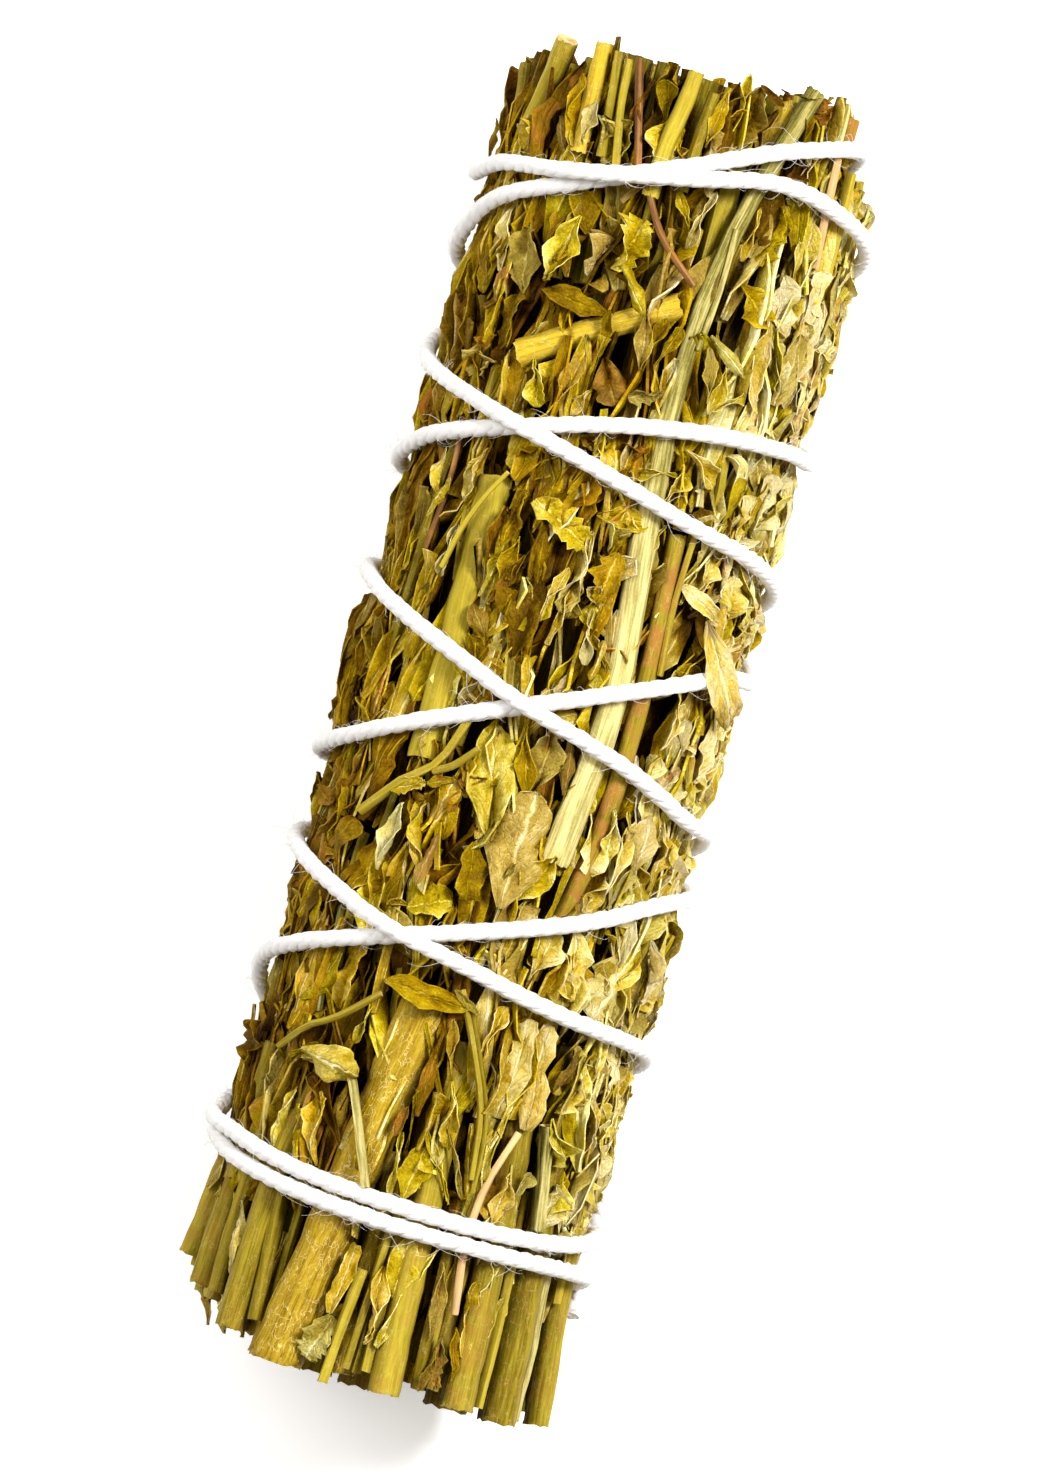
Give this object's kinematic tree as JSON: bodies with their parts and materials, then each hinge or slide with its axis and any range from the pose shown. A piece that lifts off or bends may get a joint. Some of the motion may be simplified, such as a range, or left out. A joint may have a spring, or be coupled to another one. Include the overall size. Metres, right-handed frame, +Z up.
{
  "type": "rue bundle",
  "caption": "Bundle of dried rue: cut stems and pressed leaf sprays in a tight roll, wound criss-cross with white cotton string and lying on its side.",
  "frame": {"origin": "the middle of the lying bundle's footprint, on the surface it lies on (x and y centred, z at the lowest leaves)", "axes": "+Z up; the bundle's length lies along Y, with the leafy tips towards +Y and the cut stem ends towards -Y; the string's knot is low on the +X side"},
  "size_m": [0.034, 0.11, 0.035],
  "materials": {
    "olive_stem": "ridged, dull",
    "woody_stem": "dry bark, dull",
    "pale_stem": "dry, striped, dull",
    "tan_twig": "dry, dull",
    "leaf": "dried leaf, creased and dull",
    "pale_leaf": "dried leaf, creased and dull",
    "cotton_string": "twisted, fuzzy"
  },
  "bodies": {
    "root": {"core_stem_01": "olive_stem", "core_stem_02": "olive_stem", "core_stem_03": "woody_stem", "core_stem_04": "olive_stem", "core_stem_05": "olive_stem", "core_stem_06": "woody_stem", "core_stem_07": "olive_stem", "core_stem_08": "olive_stem", "core_stem_09": "woody_stem", "core_stem_10": "olive_stem", "core_stem_11": "olive_stem", "core_stem_12": "woody_stem", "core_stem_13": "olive_stem", "core_stem_14": "olive_stem", "core_stem_15": "woody_stem", "core_stem_16": "olive_stem", "core_stem_17": "olive_stem", "core_stem_18": "woody_stem", "core_stem_19": "olive_stem", "outer_stem_01": "olive_stem", "outer_stem_02": "olive_stem", "outer_stem_03": "olive_stem", "outer_stem_04": "olive_stem", "outer_stem_05": "olive_stem", "outer_stem_06": "olive_stem", "outer_stem_07": "olive_stem", "outer_stem_08": "olive_stem", "outer_stem_09": "olive_stem", "outer_stem_10": "olive_stem", "outer_stem_11": "olive_stem", "outer_stem_12": "olive_stem", "outer_stem_13": "olive_stem", "thick_woody_stem": "woody_stem", "broad_olive_stem": "olive_stem", "brown_stem": "tan_twig", "long_pale_stem": "pale_stem", "broken_cross_stem": "pale_stem", "thin_tan_twig": "tan_twig", "leaf_spray_01": "leaf", "leaf_spray_02": "leaf", "leaf_spray_03": "pale_leaf", "leaf_spray_04": "pale_leaf", "leaf_spray_05": "leaf", "leaf_spray_06": "leaf", "leaf_spray_07": "pale_leaf", "leaf_spray_08": "leaf", "leaf_spray_09": "leaf", "leaf_spray_10": "pale_leaf", "leaf_spray_11": "leaf", "leaf_spray_12": "leaf", "leaf_spray_13": "pale_leaf", "leaf_spray_14": "pale_leaf", "leaf_spray_15": "leaf", "leaf_spray_16": "leaf", "leaf_spray_17": "leaf", "under_tuft_1": "leaf", "under_tuft_2": "leaf", "under_tuft_3": "leaf", "under_tuft_4": "leaf", "cotton_string": "cotton_string"}
  },
  "joints": []
}
